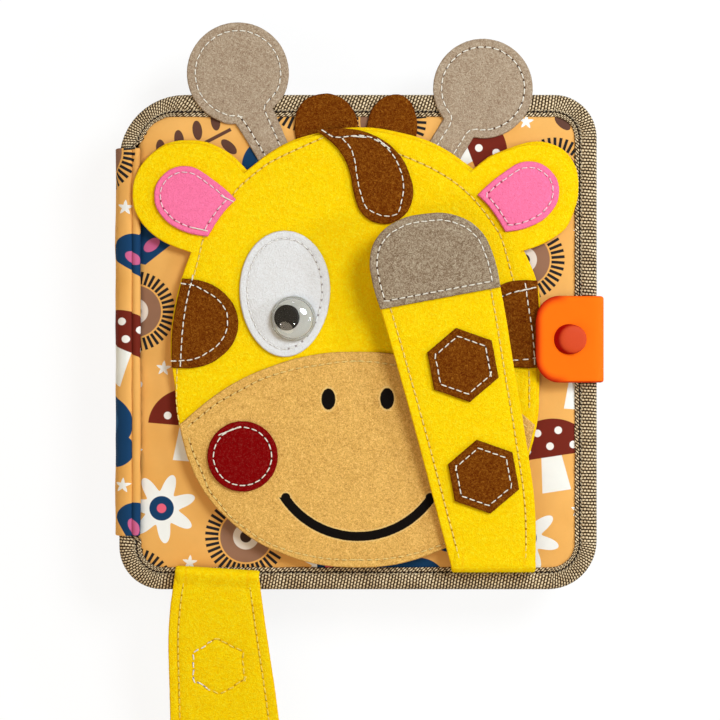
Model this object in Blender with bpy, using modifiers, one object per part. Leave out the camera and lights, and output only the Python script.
"""Giraffe activity book: two bound covers and three leaves on a folding spine, a felt giraffe
face whose two legs swing up over its googly eyes, and a strap with a snap.

Metres, +Z up. The closed book lies on its back cover: X runs to the fore-edge, Y to the top
edge and Z out of the front cover. The origin is the middle of the back cover's outer face.
"""

import math

import bmesh
import bpy
from mathutils import Matrix, Vector

# Covers, leaves and their bindings
COVER_WIDTH = 0.1964
COVER_HEIGHT = 0.2034
COVER_THICKNESS = 0.0052
COVER_CORNER = 0.0175
LEAF_SETBACK_SIDE = 0.0052
LEAF_SETBACK_ENDS = 0.0064
LEAF_THICKNESS = 0.0032
LEAF_CORNER = 0.0150
LEAF_CLEARANCE = 0.0004
LEAF_COUNT = 3
TAPE_WIDTH = 0.0092
TAPE_THICKNESS = 0.0007
GAP = 0.0003

# Spine strip
SPINE_LENGTH = 0.1590
SPINE_FABRIC = 0.0012
SPINE_FLAP = 0.0085
SPINE_EDGE_ROUND = 0.0003

# Felt
FELT = 0.0012
EAR_MARGIN = 0.00636
FACE_OFFSET_X = -0.0004
BACKING_SHIFT_X = 0.0012
BACKING_SHIFT_Y = 0.0012

# Googly eyes
GOOGLY_RADIUS = 0.0092
GOOGLY_BASE = 0.0006
DOME_HEIGHT = 0.0048
DOME_WALL = 0.0007
DOME_RIM = 0.0010
PUPIL_RADIUS = 0.0052
PUPIL_THICKNESS = 0.0008
PUPIL_ROOM = 0.0007

# Legs
LEG_LENGTH = 0.1484
LEG_WIDTH = 0.0506
LEG_BASE = 0.0340
LEG_START = 0.0010
LEG_TUCK = 0.0010
LEG_LIFT = 0.0026
LEG_ROOT_DEPTH = 0.0022
LEG_RIGHT_FROM_EDGE = 0.0429
LEG_LEFT_FROM_EDGE = 0.0406
EYE_CLEARANCE = 0.0011
HEXAGON_RADIUS = 0.0153
HEXAGON_FROM_HOOF = 0.0284
HEXAGON_PITCH = 0.0463
HEXAGON_SIDE = 0.0030
LEG_RIGHT_LEAN = math.radians(10.6)
LEG_LEFT_LEAN = math.radians(5.6)
LEG_LEFT_HINGE_TURN = math.radians(-3.5)

# Strap and snap
STRAP_WIDTH = 0.0355
STRAP_THICKNESS = 0.0018
STRAP_REACH = 0.0257
STRAP_CORNER = 0.0085
STRAP_CENTRE_Y = 0.0011
SNAP_FROM_TIP = 0.0132
CAP_RADIUS = 0.0062
CAP_HEIGHT = 0.0028
CAP_RIM = 0.0010
CAP_DISH = 0.0005
SOCKET_RADIUS = 0.0056
SOCKET_BORE = 0.0030
SOCKET_HEIGHT = 0.0022
STUD_FLANGE = 0.0050
STUD_FLANGE_HEIGHT = 0.0008
STUD_NOSE = 0.0023
STUD_NOSE_HEIGHT = 0.0026

# Clock hand, zip pocket and shapes on the leaves
HAND_LENGTH = 0.0420
HAND_WIDTH = 0.0120
HAND_TAIL = 0.0100
BRAD_RADIUS = 0.0022
BRAD_HEAD_RADIUS = 0.0045
BRAD_HEAD_HEIGHT = 0.0008
POCKET_WIDTH = 0.1300
POCKET_HEIGHT = 0.1000
POCKET_CORNER = 0.0080
ZIP_LENGTH = 0.1080
ZIP_WIDTH = 0.0080
ZIP_FROM_TOP = 0.0180
SLIDER_LENGTH = 0.0130
SLIDER_WIDTH = 0.0090
SLIDER_THICKNESS = 0.0010
PULL_LENGTH = 0.0160
PULL_WIDTH = 0.0060
SHAPE_SIZE = 0.0440
SHAPE_PITCH = 0.0560

# Smoothness
ARC_STEPS = 5
CURVE_STEPS = 3
TURN_STEPS = 28
DISC_STEPS = 36
DOME_STEPS = 6

# Outlines, as shares of the face sheet measured from the middle of the face. A point marked
# True is a corner. Left halves run from the top middle down, right halves from the bottom up.
EAR_SPREAD_SHARE = 1.12
HEAD_LEFT_SHARES = (
    (0.0, 0.529, False), (-0.095, 0.517, False), (-0.193, 0.485, False), (-0.282, 0.422, True),
    (-0.338, 0.472, False), (-0.427, 0.497, False), (-0.512, 0.47, False), (-0.56, 0.365, False),
    (-0.517, 0.275, False), (-0.415, 0.223, True), (-0.448, 0.122, False), (-0.465, -0.02, False),
    (-0.455, -0.107, False), (-0.443, -0.207, False), (-0.4, -0.34, False), (-0.318, -0.445, False),
    (-0.193, -0.525, False), (0.0, -0.562, False),
)
HEAD_RIGHT_SHARES = (
    (0.193, -0.525, False), (0.318, -0.445, False), (0.4, -0.34, False), (0.443, -0.207, False),
    (0.448, -0.12, False), (0.45, 0.005, False), (0.445, 0.13, False), (0.408, 0.225, True),
    (0.483, 0.255, False), (0.535, 0.303, False), (0.555, 0.38, False), (0.533, 0.46, False),
    (0.47, 0.5, False), (0.395, 0.495, False), (0.333, 0.463, False), (0.283, 0.425, True),
    (0.193, 0.485, False), (0.095, 0.517, False),
)
MUZZLE_LEFT_SHARES = (
    (0.0, -0.025, False), (-0.092, -0.03, False), (-0.205, -0.058, False), (-0.33, -0.117, False),
    (-0.443, -0.207, True), (-0.4, -0.34, False), (-0.318, -0.445, False), (-0.193, -0.525, False),
    (0.0, -0.562, False),
)
INNER_EAR_SHARES = (
    (-0.427, 0.438, False), (-0.487, 0.412, False), (-0.505, 0.36, False), (-0.485, 0.312, False),
    (-0.43, 0.275, False), (-0.372, 0.263, True), (-0.333, 0.323, False), (-0.302, 0.355, True),
    (-0.36, 0.405, False),
)
FORELOCK_SHARES = (
    (-0.102, 0.527, True), (-0.03, 0.532, False), (0.037, 0.517, False), (0.098, 0.475, False),
    (0.13, 0.42, False), (0.138, 0.355, False), (0.107, 0.307, False), (0.058, 0.295, False),
    (0.013, 0.32, False), (-0.007, 0.367, False), (-0.02, 0.43, False), (-0.048, 0.482, False),
)
TUFT_LEFT_SHARES = (
    (-0.15, 0.5, True), (-0.156, 0.535, False), (-0.14, 0.595, False), (-0.098, 0.619, False),
    (-0.048, 0.615, False), (-0.01, 0.58, False), (0.004, 0.527, False), (0.004, 0.5, True),
)
TUFT_RIGHT_SHARES = (
    (0.013, 0.5, True), (0.022, 0.532, False), (0.045, 0.593, False), (0.085, 0.618, False),
    (0.12, 0.613, False), (0.145, 0.575, False), (0.15, 0.535, False), (0.145, 0.5, True),
)
SIDE_SPOT_LEFT_SHARES = (
    (-0.435, 0.158, True), (-0.38, 0.15, False), (-0.33, 0.12, False), (-0.3, 0.072, False),
    (-0.302, 0.013, False), (-0.338, -0.035, False), (-0.393, -0.062, False), (-0.462, -0.064, True),
    (-0.459, 0.043, False),
)
SIDE_SPOT_RIGHT_SHARES = (
    (0.438, 0.153, True), (0.38, 0.15, False), (0.33, 0.12, False), (0.3, 0.072, False),
    (0.302, 0.013, False), (0.338, -0.035, False), (0.393, -0.062, False), (0.44, -0.064, True),
    (0.442, 0.043, False),
)
EYE_SHARE = (-0.18, 0.12)
EYE_SIZE_SHARE = (0.225, 0.314)
EYE_EGG_SHARE = 0.06
GOOGLY_SHARE = (-0.159, 0.058)
PUPIL_DIRECTION = math.radians(171.0)
CHEEK_SHARE = (-0.285, -0.285)
CHEEK_RADIUS_SHARE = 0.0875
OSSICONE_LEFT_SHARE = (-0.298, 0.672)
OSSICONE_RIGHT_SHARE = (0.315, 0.634)
OSSICONE_LEFT_RADIUS_SHARE = 0.1274
OSSICONE_RIGHT_RADIUS_SHARE = 0.1244
OSSICONE_STALK_SHARE = 0.0878
OSSICONE_REACH_SHARE = 0.2927
OSSICONE_LEFT_TURN = math.radians(26.5)
OSSICONE_RIGHT_TURN = math.radians(-31.6)

# Leg outline from the base's right end round the hoof to its left end: across as shares of
# the leg's width, along as shares of its length.
LEG_SIDE_SHARES = (
    (0.413, 0.15), (0.438, 0.34), (0.452, 0.54), (0.468, 0.765),
)
LEG_TIP_SHARES = (
    (0.455, 0.86), (0.38, 0.934), (0.186, 0.986), (-0.02, 1.0), (-0.237, 0.996),
    (-0.428, 0.961), (-0.514, 0.91), (-0.53, 0.835), (-0.507, 0.765),
)
LEG_OTHER_SIDE_SHARES = (
    (-0.425, 0.47), (-0.364, 0.2),
)
HOOF_START_SHARE = 0.767

# Heights that follow from the sizes. The room over a leaf takes the zip slider.
LEAF_ROOM = FELT + SLIDER_THICKNESS + 2 * GAP + LEAF_CLEARANCE
FIRST_LEAF_BOTTOM = COVER_THICKNESS + LEAF_ROOM
LEAF_PITCH = LEAF_THICKNESS + LEAF_ROOM
FRONT_BOTTOM = FIRST_LEAF_BOTTOM + LEAF_COUNT * LEAF_PITCH
FRONT_TOP = FRONT_BOTTOM + COVER_THICKNESS
LAYER = FELT + GAP
FACE_BACK = FRONT_TOP + GAP
FACE_TOP = FACE_BACK + 3 * LAYER
EYE_BASE = FACE_TOP + LAYER
EYE_TOP = EYE_BASE + GOOGLY_BASE + GAP + DOME_HEIGHT
LEG_HINGE_Z = FACE_TOP + LEG_LIFT - LAYER

# Places and joint axes that follow from the sizes
FACE_SHEET = (COVER_WIDTH - 2 * EAR_MARGIN) / EAR_SPREAD_SHARE
LEAF_WIDTH = COVER_WIDTH - LEAF_SETBACK_SIDE
LEAF_HEIGHT = COVER_HEIGHT - LEAF_SETBACK_ENDS
PUPIL_OFFSET = GOOGLY_RADIUS - DOME_WALL - PUPIL_ROOM - PUPIL_RADIUS
HEXAGON_HIGH = HOOF_START_SHARE * LEG_LENGTH - HEXAGON_FROM_HOOF
HEXAGON_LOW = HEXAGON_HIGH - HEXAGON_PITCH
SPINE_X = -COVER_WIDTH / 2 - GAP - SPINE_FABRIC / 2
SPINE_LOW_Z = SPINE_FABRIC / 2
SPINE_HIGH_Z = FRONT_TOP + GAP + SPINE_FABRIC / 2
LEAF_X = -COVER_WIDTH / 2 + GAP
LEG_HINGE_Y = -COVER_HEIGHT / 2 + TAPE_WIDTH - LEG_TUCK
LEG_RIGHT_X = COVER_WIDTH / 2 - LEG_RIGHT_FROM_EDGE
LEG_LEFT_X = -COVER_WIDTH / 2 + LEG_LEFT_FROM_EDGE
LEG_RAISED = math.atan2(
    EYE_TOP + EYE_CLEARANCE - LEG_HINGE_Z, GOOGLY_SHARE[1] * FACE_SHEET - LEG_HINGE_Y
)
LEG_LOWERED = math.pi + math.asin((LEG_HINGE_Z - 3 * LAYER - GAP) / LEG_LENGTH)
STRAP_X = COVER_WIDTH / 2 + GAP + STRAP_THICKNESS / 2
STRAP_LOW_Z = STRAP_THICKNESS / 2 + GAP
STRAP_BOTTOM = FACE_TOP
STRAP_HIGH_Z = STRAP_BOTTOM + STRAP_THICKNESS / 2
STRAP_TIP_X = COVER_WIDTH / 2 - STRAP_REACH
SNAP_X = STRAP_TIP_X + SNAP_FROM_TIP

COLOURS = {
    "yellow_felt": ((0.96, 0.72, 0.01), 0.95, 0.0),
    "pink_felt": ((1.0, 0.20, 0.41), 0.95, 0.0),
    "brown_felt": ((0.19, 0.06, 0.012), 0.95, 0.0),
    "taupe_felt": ((0.42, 0.32, 0.24), 0.95, 0.0),
    "tan_felt": ((0.76, 0.47, 0.14), 0.95, 0.0),
    "red_felt": ((0.23, 0.0, 0.003), 0.95, 0.0),
    "white_felt": ((0.81, 0.81, 0.78), 0.95, 0.0),
    "blue_felt": ((0.03, 0.16, 0.42), 0.95, 0.0),
    "green_felt": ((0.09, 0.33, 0.08), 0.95, 0.0),
    "orange_strap": ((1.0, 0.15, 0.004), 0.8, 0.0),
    "print_fabric": ((0.77, 0.40, 0.14), 0.8, 0.0),
    "leaf_fabric": ((0.80, 0.74, 0.60), 0.85, 0.0),
    "woven_tape": ((0.22, 0.17, 0.11), 0.9, 0.0),
    "red_snap": ((0.62, 0.02, 0.01), 0.35, 0.0),
    "white_plastic": ((0.85, 0.85, 0.85), 0.3, 0.0),
    "clear_plastic": ((0.95, 0.95, 0.95), 0.1, 0.0),
    "black_plastic": ((0.01, 0.01, 0.01), 0.3, 0.0),
    "zip_metal": ((0.6, 0.6, 0.6), 0.3, 1.0),
}

parts = bpy.data.collections.new("activity_book")
cutters = bpy.data.collections.new("cutters")
materials = {}
pivots = {}


def material_of(slot):
    """The Principled material of one colour slot, made once."""
    if slot not in materials:
        colour, roughness, metallic = COLOURS[slot]
        material = bpy.data.materials.new(slot)
        material.use_nodes = True
        shader = material.node_tree.nodes["Principled BSDF"]
        shader.inputs["Base Color"].default_value = (*colour, 1.0)
        shader.inputs["Roughness"].default_value = roughness
        shader.inputs["Metallic"].default_value = metallic
        materials[slot] = material
    return materials[slot]


def add_pivot(name, place, turn=None, parent=None):
    """An empty on a joint's axis, turned by a matrix, under the pivot that carries it."""
    empty = bpy.data.objects.new(name, None)
    parts.objects.link(empty)
    matrix = Matrix.Translation(place) @ (turn or Matrix.Identity(4))
    if parent:
        empty.parent = pivots[parent][0]
        empty.matrix_parent_inverse = pivots[parent][1].inverted()
    empty.matrix_basis = matrix
    pivots[name] = (empty, matrix)


def carry(obj, pivot, local=False):
    """Hang an object on a pivot; a local one is already drawn in the pivot's own frame."""
    if pivot:
        obj.parent = pivots[pivot][0]
        if not local:
            obj.matrix_parent_inverse = pivots[pivot][1].inverted()
    return obj


def finish(obj, slot, pivot, local=False):
    """Give a piece its material and its place in the assembly."""
    obj.data.materials.clear()
    obj.data.materials.append(material_of(slot))
    parts.objects.link(obj)
    return carry(obj, pivot, local)


def as_cutter(obj):
    obj.hide_render = True
    obj.display_type = "WIRE"
    cutters.objects.link(obj)
    return obj


def cut(obj, tool, operation="DIFFERENCE"):
    modifier = obj.modifiers.new(operation.lower(), "BOOLEAN")
    modifier.operation = operation
    modifier.solver = "EXACT"
    modifier.object = tool


def mesh_object(name, mesh_data):
    obj = bpy.data.objects.new(name, bpy.data.meshes.new(name))
    mesh_data.to_mesh(obj.data)
    mesh_data.free()
    return obj


def flat_curve(name, loops, low, high):
    """A flat outline as a filled curve between two heights. A loop is a list of x, y, corner;
    a plain list of x, y is a polygon."""
    curve = bpy.data.curves.new(name, "CURVE")
    curve.dimensions = "2D"
    curve.fill_mode = "BOTH"
    curve.extrude = (high - low) / 2
    curve.resolution_u = CURVE_STEPS
    curve.render_resolution_u = CURVE_STEPS
    for loop in loops:
        smooth = len(loop[0]) == 3
        spline = curve.splines.new("BEZIER" if smooth else "POLY")
        points = spline.bezier_points if smooth else spline.points
        points.add(len(loop) - 1)
        for point, place in zip(points, loop):
            if smooth:
                point.co = (place[0], place[1], 0)
                point.handle_left_type = "VECTOR" if place[2] else "AUTO"
                point.handle_right_type = point.handle_left_type
            else:
                point.co = (place[0], place[1], 0, 1)
        spline.use_cyclic_u = True
    obj = bpy.data.objects.new(name, curve)
    obj.location.z = (low + high) / 2
    return obj


def flat_mesh(name, loops, low, high):
    """The same outline as a welded mesh, for a piece that is cut or joined."""
    source = flat_curve(name + "_outline", loops, low, high)
    bpy.context.scene.collection.objects.link(source)
    bpy.context.view_layer.update()
    graph = bpy.context.evaluated_depsgraph_get()
    data = bpy.data.meshes.new_from_object(source.evaluated_get(graph))
    work = bmesh.new()
    work.from_mesh(data)
    bmesh.ops.remove_doubles(work, verts=work.verts, dist=GAP / 100)
    work.to_mesh(data)
    work.free()
    obj = bpy.data.objects.new(name, data)
    obj.matrix_world = source.matrix_world
    bpy.data.objects.remove(source, do_unlink=True)
    return obj


def block(name, low, high, rounding=None):
    """A box between two corners, its edges rounded by a bevel if asked."""
    work = bmesh.new()
    bmesh.ops.create_cube(work, size=1)
    size = Vector(high) - Vector(low)
    middle = (Vector(high) + Vector(low)) / 2
    bmesh.ops.scale(work, vec=size, verts=work.verts)
    bmesh.ops.translate(work, vec=middle, verts=work.verts)
    obj = mesh_object(name, work)
    if rounding:
        bevel = obj.modifiers.new("rounded", "BEVEL")
        bevel.width = rounding
        bevel.segments = 2
    return obj


def disc(name, radius, low, high, place, steps=DISC_STEPS):
    """A round plate between two heights, centred on a place in plan."""
    work = bmesh.new()
    bmesh.ops.create_cone(
        work, cap_ends=True, segments=steps, radius1=radius, radius2=radius, depth=high - low
    )
    bmesh.ops.translate(work, vec=(place[0], place[1], (low + high) / 2), verts=work.verts)
    return mesh_object(name, work)


def turned(name, profile, place, closed=False, steps=TURN_STEPS):
    """A profile of radius and height turned about a vertical axis with a Screw modifier."""
    work = bmesh.new()
    verts = [work.verts.new((radius, 0, height)) for radius, height in profile]
    for first, second in zip(verts, verts[1:]):
        work.edges.new((first, second))
    if closed:
        work.edges.new((verts[-1], verts[0]))
    obj = mesh_object(name, work)
    obj.location = place
    screw = obj.modifiers.new("turned", "SCREW")
    screw.steps = steps
    screw.render_steps = steps
    screw.use_merge_vertices = True
    screw.merge_threshold = GAP / 10
    screw.use_smooth_shade = True
    return obj


def arc(centre, radius, start, end, steps=ARC_STEPS):
    """Points along an arc, both ends included."""
    return [
        (
            centre[0] + radius * math.cos(start + (end - start) * step / steps),
            centre[1] + radius * math.sin(start + (end - start) * step / steps),
        )
        for step in range(steps + 1)
    ]


def rounded_rectangle(left, right, bottom, top, radius):
    quarter = math.pi / 2
    corners = (
        (right - radius, top - radius),
        (left + radius, top - radius),
        (left + radius, bottom + radius),
        (right - radius, bottom + radius),
    )
    points = []
    for index, corner in enumerate(corners):
        points += arc(corner, radius, index * quarter, (index + 1) * quarter)
    return points


def face_point(share, mirror=1):
    """A place on the cover from a share of the face sheet."""
    return (FACE_OFFSET_X + mirror * share[0] * FACE_SHEET, share[1] * FACE_SHEET)


def face_loop(shares, mirror=1):
    return [(*face_point(share, mirror), share[2]) for share in shares]


def mirrored_loop(half):
    """A half outline and its mirror image, as one loop."""
    left = face_loop(half)
    right = face_loop(half, mirror=-1)
    return left + right[-2:0:-1]


def layer_height(layer):
    """The bottom and the top of a felt layer on the front cover."""
    low = FACE_BACK + layer * LAYER
    return low, low + FELT


def felt_piece(name, slot, loops, layer):
    return finish(flat_curve(name, loops, *layer_height(layer)), slot, "front_cover_pivot")


def bound_board(prefix, slot, left, width, height, corner, bottom, thickness, pivot):
    """A padded board in a folded tape binding: the board's thinner rim sits in the tape."""
    right = left + width
    low, high = -height / 2, height / 2
    top = bottom + thickness

    def ring(inset, radius):
        return rounded_rectangle(left + inset, right - inset, low + inset, high - inset, radius)

    wrap = TAPE_THICKNESS + GAP
    face = flat_mesh(prefix + "_panel", [ring(TAPE_WIDTH + GAP, corner / 2 - GAP)], bottom, top)
    rim = flat_mesh(
        prefix + "_rim", [ring(wrap, corner - wrap)], bottom + wrap, top - wrap
    )
    cut(face, as_cutter(rim), "UNION")
    finish(face, slot, pivot)

    binding = flat_mesh(prefix + "_binding", [ring(0, corner)], bottom, top)
    window = flat_mesh(
        prefix + "_window", [ring(TAPE_WIDTH, corner / 2)], bottom - thickness, top + thickness
    )
    channel = flat_mesh(
        prefix + "_channel",
        [ring(TAPE_THICKNESS, corner - TAPE_THICKNESS)],
        bottom + TAPE_THICKNESS,
        top - TAPE_THICKNESS,
    )
    cut(binding, as_cutter(window))
    cut(binding, as_cutter(channel))
    finish(binding, "woven_tape", pivot)
    return face, binding


def add_covers():
    """The two covers, with the back one let in for the spine strip's back flap."""
    left = -COVER_WIDTH / 2
    back = bound_board(
        "back_cover", "print_fabric", left, COVER_WIDTH, COVER_HEIGHT, COVER_CORNER, 0,
        COVER_THICKNESS, None,
    )
    rebate = block(
        "spine_rebate",
        (left - TAPE_WIDTH, -SPINE_LENGTH / 2 - GAP, -SPINE_FABRIC),
        (left + SPINE_FLAP + GAP, SPINE_LENGTH / 2 + GAP, SPINE_FABRIC + GAP),
    )
    as_cutter(rebate)
    for piece in back:
        cut(piece, rebate)
    bound_board(
        "front_cover", "print_fabric", left, COVER_WIDTH, COVER_HEIGHT, COVER_CORNER,
        FRONT_BOTTOM, COVER_THICKNESS, "front_cover_pivot",
    )


def add_spine():
    """The printed strip: a flap under the back cover, a wall and a flap on the front."""
    half = SPINE_LENGTH / 2
    left = -COVER_WIDTH / 2
    right = left + SPINE_FLAP
    back = block("spine_flap_back", (left, -half, 0), (right, half, SPINE_FABRIC))
    finish(back, "print_fabric", None)
    wall = block(
        "spine_wall",
        (SPINE_X - SPINE_FABRIC / 2, -half, SPINE_LOW_Z),
        (SPINE_X + SPINE_FABRIC / 2, half, SPINE_HIGH_Z),
    )
    finish(wall, "print_fabric", "spine_pivot")
    front = block(
        "spine_flap_front",
        (left, -half, FACE_BACK),
        (right, half, FACE_BACK + SPINE_FABRIC),
        SPINE_EDGE_ROUND,
    )
    finish(front, "print_fabric", "front_cover_pivot")


def leaf_height(number):
    """The bottom of a leaf; leaf 1 lies next to the front cover."""
    return FIRST_LEAF_BOTTOM + (LEAF_COUNT - number) * LEAF_PITCH


def add_leaves():
    for number in range(1, LEAF_COUNT + 1):
        bound_board(
            f"page_{number}", "leaf_fabric", LEAF_X, LEAF_WIDTH, LEAF_HEIGHT, LEAF_CORNER,
            leaf_height(number), LEAF_THICKNESS, f"page_{number}_pivot",
        )


def add_clock():
    """A felt clock hand that turns on a plastic brad in the middle of leaf 1."""
    low = leaf_height(1) + LEAF_THICKNESS + GAP
    middle = (LEAF_X + LEAF_WIDTH / 2, 0)
    shaft = HAND_WIDTH / 3
    outline = [
        (middle[0] + x, middle[1] + y, corner)
        for x, y, corner in (
            (0, HAND_LENGTH, True), (-HAND_WIDTH / 2, HAND_LENGTH - HAND_WIDTH, True),
            (-shaft / 2, HAND_LENGTH - HAND_WIDTH, True), (-shaft / 2, HAND_WIDTH / 2, True),
            (-HAND_WIDTH / 2, 0, False), (0, -HAND_TAIL, False), (HAND_WIDTH / 2, 0, False),
            (shaft / 2, HAND_WIDTH / 2, True), (shaft / 2, HAND_LENGTH - HAND_WIDTH, True),
            (HAND_WIDTH / 2, HAND_LENGTH - HAND_WIDTH, True),
        )
    ]
    hole = arc(middle, BRAD_RADIUS + GAP, 0, 2 * math.pi, TURN_STEPS)[:-1]
    hole = [(x, y, False) for x, y in hole]
    hand = flat_curve("clock_hand", [outline, hole], low, low + FELT)
    finish(hand, "red_felt", "clock_pivot")
    top = low + FELT + GAP
    profile = (
        (0, top + BRAD_HEAD_HEIGHT), (BRAD_HEAD_RADIUS * 0.6, top + BRAD_HEAD_HEIGHT * 0.9),
        (BRAD_HEAD_RADIUS, top), (BRAD_RADIUS, top), (BRAD_RADIUS, low), (0, low),
    )
    brad = turned("clock_brad", profile, (*middle, 0))
    finish(brad, "white_plastic", "page_1_pivot")


def add_pocket():
    """A felt pocket front on leaf 2, with a zip let into it and a slider on the zip."""
    low = leaf_height(2) + LEAF_THICKNESS + GAP
    middle = LEAF_X + LEAF_WIDTH / 2
    zip_y = POCKET_HEIGHT / 2 - ZIP_FROM_TOP
    outer = rounded_rectangle(
        middle - POCKET_WIDTH / 2, middle + POCKET_WIDTH / 2, -POCKET_HEIGHT / 2,
        POCKET_HEIGHT / 2, POCKET_CORNER,
    )
    slot_half = ZIP_WIDTH / 2 + GAP
    left, right = middle - ZIP_LENGTH / 2, middle + ZIP_LENGTH / 2
    inner = [
        (left - GAP, zip_y - slot_half), (right + GAP, zip_y - slot_half),
        (right + GAP, zip_y + slot_half), (left - GAP, zip_y + slot_half),
    ]
    panel = flat_curve("pocket_panel", [outer, inner], low, low + FELT)
    finish(panel, "blue_felt", "page_2_pivot")
    chain = block(
        "zip_chain", (left, zip_y - ZIP_WIDTH / 2, low), (right, zip_y + ZIP_WIDTH / 2, low + FELT)
    )
    finish(chain, "woven_tape", "page_2_pivot")
    start = left + SLIDER_LENGTH / 2
    body, pull = SLIDER_WIDTH / 2, PULL_WIDTH / 2
    shape = [
        (start - SLIDER_LENGTH / 2, zip_y - pull), (start - SLIDER_LENGTH / 2, zip_y + pull),
        (start, zip_y + body), (start + SLIDER_LENGTH / 2, zip_y + body),
        (start + SLIDER_LENGTH / 2, zip_y - body), (start + pull, zip_y - body),
        (start + pull, zip_y - PULL_LENGTH), (start - pull, zip_y - PULL_LENGTH),
        (start - pull, zip_y - body),
    ]
    bottom = low + FELT + GAP
    slider = flat_curve("zip_slider", [shape], bottom, bottom + SLIDER_THICKNESS)
    finish(slider, "zip_metal", "zip_pivot")


def add_shapes():
    """A circle, a square and a triangle of felt on leaf 3."""
    low = leaf_height(3) + LEAF_THICKNESS + GAP
    middle = LEAF_X + LEAF_WIDTH / 2
    half = SHAPE_SIZE / 2
    circle = disc("shape_circle", half, low, low + FELT, (middle - SHAPE_PITCH, 0))
    finish(circle, "red_felt", "page_3_pivot")
    square = flat_curve(
        "shape_square",
        [rounded_rectangle(middle - half, middle + half, -half, half, half / ARC_STEPS)],
        low, low + FELT,
    )
    finish(square, "blue_felt", "page_3_pivot")
    turn = math.pi / 2
    corners = arc((middle + SHAPE_PITCH, 0), half, turn, turn + 2 * math.pi, 3)[:-1]
    triangle = flat_curve("shape_triangle", [corners], low, low + FELT)
    finish(triangle, "green_felt", "page_3_pivot")


def ossicone_loop(share, radius_share, turn):
    """A disc and the straight stalk that joins it to the head, as one outline."""
    centre = face_point(share)
    radius = radius_share * FACE_SHEET
    stalk = OSSICONE_STALK_SHARE * FACE_SHEET
    opening = math.asin(stalk / 2 / radius)
    down = turn - math.pi / 2
    points = arc(centre, radius, down + opening, down + 2 * math.pi - opening, 6 * ARC_STEPS)
    for side in (-1, 1):
        across, along = side * stalk / 2, OSSICONE_REACH_SHARE * FACE_SHEET
        points.append(
            (
                centre[0] + along * math.cos(down) - across * math.sin(down),
                centre[1] + along * math.sin(down) + across * math.cos(down),
            )
        )
    return points


def add_ears_and_horns():
    """What stands out behind the head, and the pink felt inside the ears."""
    left = ossicone_loop(OSSICONE_LEFT_SHARE, OSSICONE_LEFT_RADIUS_SHARE, OSSICONE_LEFT_TURN)
    right = ossicone_loop(OSSICONE_RIGHT_SHARE, OSSICONE_RIGHT_RADIUS_SHARE, OSSICONE_RIGHT_TURN)
    felt_piece("ossicone_left", "taupe_felt", [left], 0)
    felt_piece("ossicone_right", "taupe_felt", [right], 0)
    felt_piece("tuft_left", "brown_felt", [face_loop(TUFT_LEFT_SHARES)], 0)
    felt_piece("tuft_right", "brown_felt", [face_loop(TUFT_RIGHT_SHARES)], 0)
    felt_piece("inner_ear_left", "pink_felt", [face_loop(INNER_EAR_SHARES)], 3)
    felt_piece("inner_ear_right", "pink_felt", [face_loop(INNER_EAR_SHARES, -1)], 3)


def add_head():
    """The backing, the front with its ears, and the flat pieces sewn to it."""
    head = face_loop(HEAD_LEFT_SHARES + HEAD_RIGHT_SHARES)
    backing = [(x + BACKING_SHIFT_X, y + BACKING_SHIFT_Y, corner) for x, y, corner in head]
    felt_piece("head_backing", "yellow_felt", [backing], 1)
    felt_piece("head_front", "yellow_felt", [head], 2)
    felt_piece("muzzle", "tan_felt", [mirrored_loop(MUZZLE_LEFT_SHARES)], 3)
    felt_piece("forelock", "brown_felt", [face_loop(FORELOCK_SHARES)], 3)
    felt_piece("side_spot_left", "brown_felt", [face_loop(SIDE_SPOT_LEFT_SHARES)], 3)
    felt_piece("side_spot_right", "brown_felt", [face_loop(SIDE_SPOT_RIGHT_SHARES)], 3)


def eye_loop(mirror):
    """An egg-shaped oval, a little fuller above its middle."""
    centre = face_point(EYE_SHARE, mirror)
    half_width, half_height = (share * FACE_SHEET / 2 for share in EYE_SIZE_SHARE)
    points = []
    for step in range(DISC_STEPS):
        angle = 2 * math.pi * step / DISC_STEPS
        across = half_width * (1 + EYE_EGG_SHARE * math.sin(angle)) * math.cos(angle)
        points.append((centre[0] + across, centre[1] + half_height * math.sin(angle)))
    return points


def dome_profile(base):
    """A thin clear cap: a short straight rim under an elliptical crown."""
    crown = DOME_HEIGHT - DOME_RIM
    outer, inner = [], []
    for step in range(DOME_STEPS + 1):
        angle = math.pi / 2 * (1 - step / DOME_STEPS)
        across, up = math.cos(angle), math.sin(angle)
        outer.append((GOOGLY_RADIUS * across, base + DOME_RIM + crown * up))
        inner.append(
            ((GOOGLY_RADIUS - DOME_WALL) * across, base + DOME_RIM + (crown - DOME_WALL) * up)
        )
    outer[0] = (0, outer[0][1])
    inner[0] = (0, inner[0][1])
    return outer + [(GOOGLY_RADIUS, base), (GOOGLY_RADIUS - DOME_WALL, base)] + inner[::-1]


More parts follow.
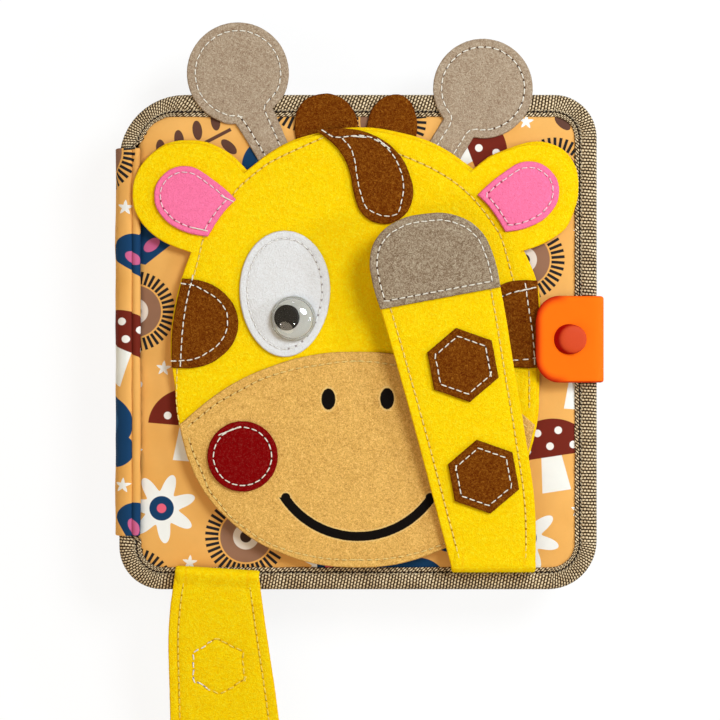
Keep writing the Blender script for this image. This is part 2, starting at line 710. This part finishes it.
def add_eyes():
    """White felt, and a googly eye with a pupil that rolls round inside its dome."""
    base = EYE_BASE
    for side, mirror in (("left", 1), ("right", -1)):
        felt_piece(f"eye_white_{side}", "white_felt", [eye_loop(mirror)], 3)
        x, y = face_point(GOOGLY_SHARE, mirror)
        plate = disc(f"googly_base_{side}", GOOGLY_RADIUS, base, base + GOOGLY_BASE, (x, y))
        finish(plate, "white_plastic", "front_cover_pivot")
        rim = base + GOOGLY_BASE + GAP
        dome = turned(f"googly_dome_{side}", dome_profile(rim), (x, y, 0))
        finish(dome, "clear_plastic", "front_cover_pivot")
        pupil = disc(
            f"pupil_{side}", PUPIL_RADIUS, rim, rim + PUPIL_THICKNESS,
            (
                x + PUPIL_OFFSET * math.cos(PUPIL_DIRECTION),
                y + PUPIL_OFFSET * math.sin(PUPIL_DIRECTION),
            ),
        )
        finish(pupil, "black_plastic", f"pupil_{side}_pivot")
        cheek = disc(
            f"cheek_{side}", CHEEK_RADIUS_SHARE * FACE_SHEET, *layer_height(4),
            face_point(CHEEK_SHARE, mirror),
        )
        finish(cheek, "red_felt", "front_cover_pivot")


def lean_point(across, along, lean, mirror):
    """A place on a leg whose middle line leans from its hinge's square."""
    x = across * math.cos(lean) - along * math.sin(lean)
    y = across * math.sin(lean) + along * math.cos(lean)
    return mirror * x, y


def leg_points(shares, lean, mirror, corner_ends=False):
    points = []
    for index, (across, along) in enumerate(shares):
        place = lean_point(across * LEG_WIDTH, along * LEG_LENGTH, lean, mirror)
        is_end = corner_ends and index in (0, len(shares) - 1)
        points.append((*place, is_end))
    return points


def add_leg(side, lean, mirror):
    """Two layers of felt, a hoof and two hexagons, drawn on the leg's own hinge."""
    pivot = f"leg_{side}_pivot"
    base = [(-LEG_BASE / 2, LEG_START, True), (LEG_BASE / 2, LEG_START, True)]
    if mirror < 0:
        base.reverse()
    body = base + leg_points(LEG_SIDE_SHARES + LEG_TIP_SHARES + LEG_OTHER_SIDE_SHARES, lean, mirror)
    ends = ((LEG_SIDE_SHARES[-1][0], HOOF_START_SHARE), (LEG_TIP_SHARES[-1][0], HOOF_START_SHARE))
    hoof_shares = (ends[0],) + LEG_TIP_SHARES[:-1] + (ends[1],)
    hoof = leg_points(hoof_shares, lean, mirror, corner_ends=True)
    layers = (("back", "yellow_felt", body), ("front", "yellow_felt", body), ("hoof", "taupe_felt", hoof))
    for layer, (name, slot, loop) in enumerate(layers):
        low = layer * LAYER
        piece = flat_curve(f"leg_{side}_{name}", [loop], low, low + FELT)
        finish(piece, slot, pivot, local=True)
    for name, along in (("low", HEXAGON_LOW), ("high", HEXAGON_HIGH)):
        spot = disc(
            f"leg_{side}_spot_{name}", HEXAGON_RADIUS, -FELT / 2, FELT / 2, (0, 0), steps=6
        )
        x, y = lean_point(HEXAGON_SIDE, along, lean, mirror)
        spot.location = (x, y, 2 * LAYER + FELT / 2)
        spot.rotation_euler.z = mirror * lean
        finish(spot, "brown_felt", pivot, local=True)


def add_leg_root(side, middle_x, turn):
    """The folded end of a leg, sewn to the cover beside the binding."""
    root = block(
        f"leg_root_{side}",
        (-LEG_BASE / 2, GAP, FACE_BACK),
        (LEG_BASE / 2, GAP + LEG_ROOT_DEPTH, LEG_HINGE_Z - GAP),
    )
    root.location = (middle_x, LEG_HINGE_Y, 0)
    root.rotation_euler.z = turn
    finish(root, "yellow_felt", "front_cover_pivot")


def add_strap():
    """The strap's riser beside the fore-edge, its tab over the cover, and the snap."""
    low, high = STRAP_CENTRE_Y - STRAP_WIDTH / 2, STRAP_CENTRE_Y + STRAP_WIDTH / 2
    half = STRAP_THICKNESS / 2
    riser = block(
        "strap_riser", (STRAP_X - half, low, STRAP_LOW_Z), (STRAP_X + half, high, STRAP_HIGH_Z)
    )
    finish(riser, "orange_strap", "strap_riser_pivot")
    right = STRAP_X - half - GAP
    quarter = math.pi / 2
    corner_x = STRAP_TIP_X + STRAP_CORNER
    outline = [(right, low), (right, high)]
    outline += arc((corner_x, high - STRAP_CORNER), STRAP_CORNER, quarter, 2 * quarter)
    outline += arc((corner_x, low + STRAP_CORNER), STRAP_CORNER, 2 * quarter, 3 * quarter)
    top = STRAP_BOTTOM + STRAP_THICKNESS
    tab = flat_curve("strap_tab", [outline], STRAP_BOTTOM, top)
    finish(tab, "orange_strap", "strap_tab_pivot")

    place = (SNAP_X, STRAP_CENTRE_Y, 0)
    base = top + GAP
    cap = (
        (0, base + CAP_HEIGHT - CAP_DISH), (CAP_RADIUS * 0.45, base + CAP_HEIGHT - CAP_DISH),
        (CAP_RADIUS * 0.62, base + CAP_HEIGHT), (CAP_RADIUS * 0.8, base + CAP_HEIGHT * 0.85),
        (CAP_RADIUS * 0.96, base + CAP_RIM * 1.2), (CAP_RADIUS, base + CAP_RIM / 2),
        (CAP_RADIUS * 0.97, base), (0, base),
    )
    finish(turned("snap_cap", cap, place), "red_snap", "strap_tab_pivot")
    under = STRAP_BOTTOM - GAP
    socket = (
        (SOCKET_RADIUS, under), (SOCKET_RADIUS, under - SOCKET_HEIGHT / 2),
        (SOCKET_BORE + GAP, under - SOCKET_HEIGHT), (SOCKET_BORE, under - SOCKET_HEIGHT),
        (SOCKET_BORE, under),
    )
    finish(turned("snap_socket", socket, place, closed=True), "red_snap", "strap_tab_pivot")
    foot = FRONT_TOP + GAP
    neck = foot + STUD_FLANGE_HEIGHT
    stud = (
        (0, neck + STUD_NOSE_HEIGHT), (STUD_NOSE * 0.8, neck + STUD_NOSE_HEIGHT),
        (STUD_NOSE, neck + STUD_NOSE_HEIGHT / 2), (STUD_NOSE * 0.9, neck), (STUD_FLANGE, neck),
        (STUD_FLANGE, foot), (0, foot),
    )
    finish(turned("snap_stud", stud, place), "red_snap", "front_cover_pivot")


def add_pivots():
    """An empty on each joint's axis, nested as the joints carry each other."""
    add_pivot("spine_pivot", (SPINE_X, 0, SPINE_LOW_Z))
    add_pivot("front_cover_pivot", (SPINE_X, 0, SPINE_HIGH_Z), parent="spine_pivot")
    for number in range(1, LEAF_COUNT + 1):
        add_pivot(f"page_{number}_pivot", (LEAF_X, 0, leaf_height(number) + LEAF_THICKNESS))
    middle = LEAF_X + LEAF_WIDTH / 2
    add_pivot("clock_pivot", (middle, 0, leaf_height(1) + LEAF_THICKNESS), parent="page_1_pivot")
    slider_x = middle - ZIP_LENGTH / 2 + SLIDER_LENGTH / 2
    slider_y = POCKET_HEIGHT / 2 - ZIP_FROM_TOP
    add_pivot(
        "zip_pivot", (slider_x, slider_y, leaf_height(2) + LEAF_THICKNESS), parent="page_2_pivot"
    )
    add_pivot("strap_riser_pivot", (STRAP_X, STRAP_CENTRE_Y, STRAP_LOW_Z))
    add_pivot("strap_tab_pivot", (STRAP_X, STRAP_CENTRE_Y, STRAP_HIGH_Z), parent="strap_riser_pivot")
    for side, mirror in (("left", 1), ("right", -1)):
        place = (*face_point(GOOGLY_SHARE, mirror), EYE_BASE)
        add_pivot(f"pupil_{side}_pivot", place, parent="front_cover_pivot")
    raised = Matrix.Rotation(LEG_RAISED, 4, "X")
    lowered = Matrix.Rotation(LEG_LEFT_HINGE_TURN, 4, "Z") @ Matrix.Rotation(LEG_LOWERED, 4, "X")
    for side, x, turn in (("right", LEG_RIGHT_X, raised), ("left", LEG_LEFT_X, lowered)):
        place = (x, LEG_HINGE_Y, LEG_HINGE_Z)
        add_pivot(f"leg_{side}_pivot", place, turn, parent="front_cover_pivot")


def main():
    for obj in list(bpy.data.objects):
        bpy.data.objects.remove(obj, do_unlink=True)
    bpy.context.scene.collection.children.link(parts)
    bpy.context.scene.collection.children.link(cutters)
    add_pivots()
    add_covers()
    add_spine()
    add_leaves()
    add_clock()
    add_pocket()
    add_shapes()
    add_ears_and_horns()
    add_head()
    add_eyes()
    add_leg("right", LEG_RIGHT_LEAN, 1)
    add_leg("left", LEG_LEFT_LEAN, -1)
    add_leg_root("right", LEG_RIGHT_X, 0)
    add_leg_root("left", LEG_LEFT_X, LEG_LEFT_HINGE_TURN)
    add_strap()


main()
